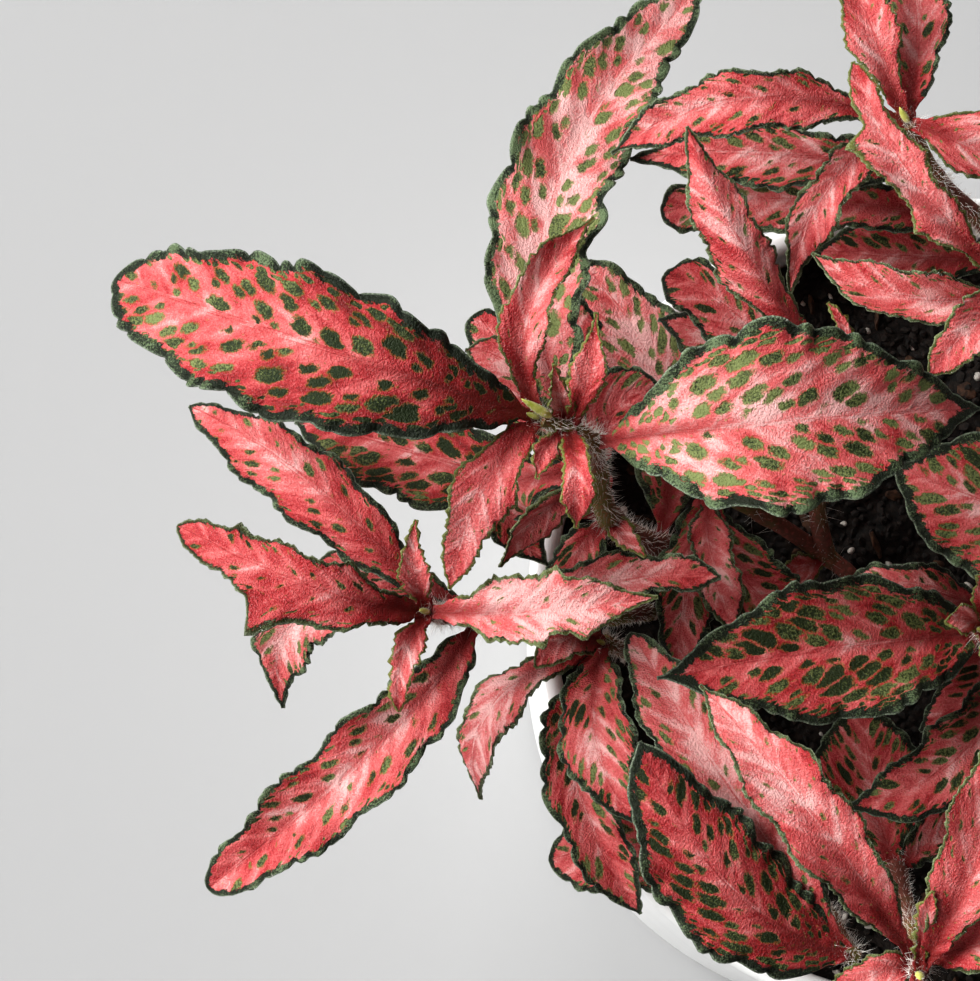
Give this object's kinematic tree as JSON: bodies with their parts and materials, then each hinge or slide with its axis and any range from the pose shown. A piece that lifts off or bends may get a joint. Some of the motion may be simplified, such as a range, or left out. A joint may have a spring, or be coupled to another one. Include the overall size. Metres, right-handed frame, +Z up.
{
  "type": "potted nerve plant",
  "caption": "Leafy nerve plant with red, green-edged leaves in opposite pairs on upright stems, rooted in dark potting soil in a plain white round pot.",
  "frame": {"origin": "middle of the pot's flat underside", "axes": "+Z up along the pot's axis, -Z out of its underside; the tall stem with the largest leaves leans to -X"},
  "size_m": [0.2152, 0.1805, 0.1735],
  "materials": {
    "glaze": "smooth satin white glaze",
    "soil": "dark damp potting mix with white perlite grains",
    "foliage": "velvety pink-red leaves with a net of green islands and a crinkled dark green margin"
  },
  "bodies": {
    "root": {"pot": "glaze", "soil": "soil", "leafy_stem_west_high": "foliage", "leafy_stem_west_low": "foliage", "leafy_stem_southwest": "foliage", "leafy_stem_south_left": "foliage", "leafy_stem_south": "foliage", "leafy_stem_middle": "foliage", "leafy_stem_branched": "foliage", "leafy_stem_north": "foliage", "leafy_stem_north_middle": "foliage", "leafy_stem_east_middle": "foliage", "leafy_stem_northeast": "foliage", "leafy_stem_east": "foliage", "leafy_stem_southeast": "foliage", "leafy_stem_far_north": "foliage"}
  },
  "joints": []
}
